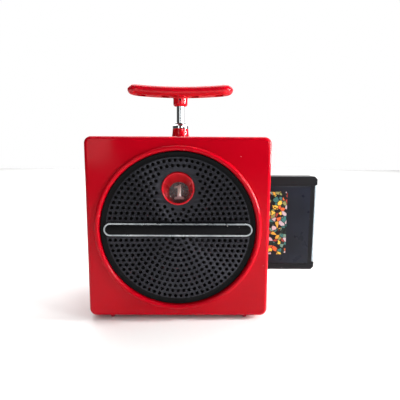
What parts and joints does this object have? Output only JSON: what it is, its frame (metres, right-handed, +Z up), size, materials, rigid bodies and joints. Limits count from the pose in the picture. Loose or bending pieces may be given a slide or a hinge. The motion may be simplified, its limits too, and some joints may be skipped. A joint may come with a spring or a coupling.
{
  "type": "portable cartridge player",
  "caption": "Square portable tape player with a round grille, a plunger handle on top, a numeral window and a cartridge in its side slot.",
  "frame": {"origin": "on the plane of the feet, under the plunger's axis, midway between the case's sides", "axes": "+X to the right towards the cartridge slot, +Y into the depth away from the grille, +Z up along the plunger"},
  "size_m": [0.235, 0.111, 0.2379],
  "materials": {
    "red_abs": "gloss",
    "dark_red_abs": "gloss",
    "black_grille": "satin",
    "black_plate": "gloss",
    "bright_trim": "polished",
    "clear_lens": "clear",
    "disc_black": "gloss",
    "cream_paint": "satin",
    "zinc_steel": "satin",
    "dark_pin": "blackened",
    "brass": "satin",
    "alloy": "satin",
    "fibreboard": "matt",
    "paper_cone": "matt",
    "ferrite": "matt",
    "belt_rubber": "matt",
    "circuit_laminate": "satin",
    "component_cases": "satin",
    "black_abs": "satin",
    "wheel_abs": "satin",
    "pot_cases": "satin",
    "label_paper": "satin",
    "tape": "satin"
  },
  "bodies": {
    "case": {"front_shell": "red_abs", "rear_cover": "red_abs", "feet": "dark_red_abs", "case_screws": "zinc_steel", "grille": "black_grille", "nameplate": "black_plate", "nameplate_trim": "bright_trim", "window_cup": "red_abs", "window_lens": "clear_lens", "speaker_baffle": "fibreboard", "speaker_frame": "zinc_steel", "speaker_cone": "paper_cone", "speaker_magnet": "ferrite", "collar_base": "red_abs", "collar_nut": "bright_trim", "collar_locknut": "zinc_steel", "plunger_bracket": "zinc_steel", "program_plate": "zinc_steel", "chassis_plate": "zinc_steel", "cartridge_guide": "black_abs", "motor": "zinc_steel", "drive_belt": "belt_rubber", "capstan_bearing": "brass", "head_guide_pins": "bright_trim", "circuit_board": "circuit_laminate", "board_parts": "component_cases", "battery_box": "black_abs", "battery_contacts": "brass", "control_panel": "black_abs", "control_pots": "pot_cases", "earphone_jack": "bright_trim", "power_jack": "black_abs"},
    "plunger": {"plunger_grip": "red_abs", "grip_pin": "dark_pin", "plunger_rod": "bright_trim", "rod_stop": "zinc_steel", "rack_crosshead": "zinc_steel", "plunger_spring": "zinc_steel"},
    "indexer": {"index_pinion": "brass", "index_pawl": "zinc_steel"},
    "programme": {"program_shaft": "bright_trim", "ratchet_wheel": "zinc_steel", "number_disc": "disc_black", "numerals": "cream_paint", "head_cam": "brass"},
    "motor_rotor": {"motor_pulley": "brass"},
    "drive_wheel": {"flywheel": "zinc_steel", "capstan": "bright_trim"},
    "head": {"head_carriage": "alloy", "tape_head": "bright_trim"},
    "volume": {"volume_wheel": "wheel_abs"},
    "tone": {"tone_wheel": "wheel_abs"},
    "battery_lid": {"battery_door": "red_abs"},
    "cartridge": {"cartridge_shell": "black_abs", "cartridge_cover": "black_abs", "cartridge_label": "label_paper"},
    "reel": {"tape_reel": "tape"},
    "roller": {"pinch_roller": "belt_rubber"}
  },
  "joints": [
    {"name": "plunger_press", "type": "slide", "parent": "case", "child": "plunger", "axis": [0, 0, 1], "range_m": [-0.017, 0], "stiffness_N_per_m": 600, "springref_m": 0.012, "deforming": ["plunger_spring"]},
    {"name": "index_turn", "type": "hinge", "parent": "case", "child": "indexer", "pos_m": [0, -0.02325, 0.1434], "axis": [0, 1, 0], "range_deg": [-109, 0]},
    {"name": "program_turn", "type": "hinge", "parent": "case", "child": "programme", "pos_m": [0, -0.029, 0.1434], "axis": [0, 1, 0], "continuous": true},
    {"name": "flywheel_spin", "type": "hinge", "parent": "case", "child": "drive_wheel", "pos_m": [0.01205, 0.0137, 0.0572], "axis": [0, 1, 0], "continuous": true},
    {"name": "motor_spin", "type": "hinge", "parent": "case", "child": "motor_rotor", "pos_m": [-0.05275, 0.0137, 0.0572], "axis": [0, 1, 0], "continuous": true},
    {"name": "head_shift", "type": "slide", "parent": "case", "child": "head", "axis": [0, 1, 0], "range_m": [0, 0.0024], "stiffness_N_per_m": 150, "springref_m": -0.002},
    {"name": "volume_turn", "type": "hinge", "parent": "case", "child": "volume", "pos_m": [-0.0776, -0.009, 0.1326], "axis": [0, 1, 0], "range_deg": [0, 270]},
    {"name": "tone_turn", "type": "hinge", "parent": "case", "child": "tone", "pos_m": [-0.0776, -0.009, 0.1066], "axis": [0, 1, 0], "range_deg": [0, 270]},
    {"name": "battery_door_swing", "type": "hinge", "parent": "case", "child": "battery_lid", "pos_m": [0, 0.0527, 0.0106], "axis": [-1, 0, 0], "range_deg": [0, 95]},
    {"name": "cartridge_slide", "type": "slide", "parent": "case", "child": "cartridge", "axis": [1, 0, 0], "range_m": [0, 0.1]},
    {"name": "reel_turn", "type": "hinge", "parent": "cartridge", "child": "reel", "pos_m": [0.0806, -0.0075, 0.0912], "axis": [0, 1, 0], "continuous": true},
    {"name": "roller_turn", "type": "hinge", "parent": "cartridge", "child": "roller", "pos_m": [0.022, -0.00675, 0.0572], "axis": [0, 1, 0], "continuous": true}
  ],
  "couplings": [
    {"joint": "index_turn", "follows": "plunger_press", "rad_per_m": 111.11},
    {"joint": "motor_spin", "follows": "flywheel_spin", "ratio": 8.8571},
    {"joint": "roller_turn", "follows": "flywheel_spin", "ratio": -0.17857}
  ]
}
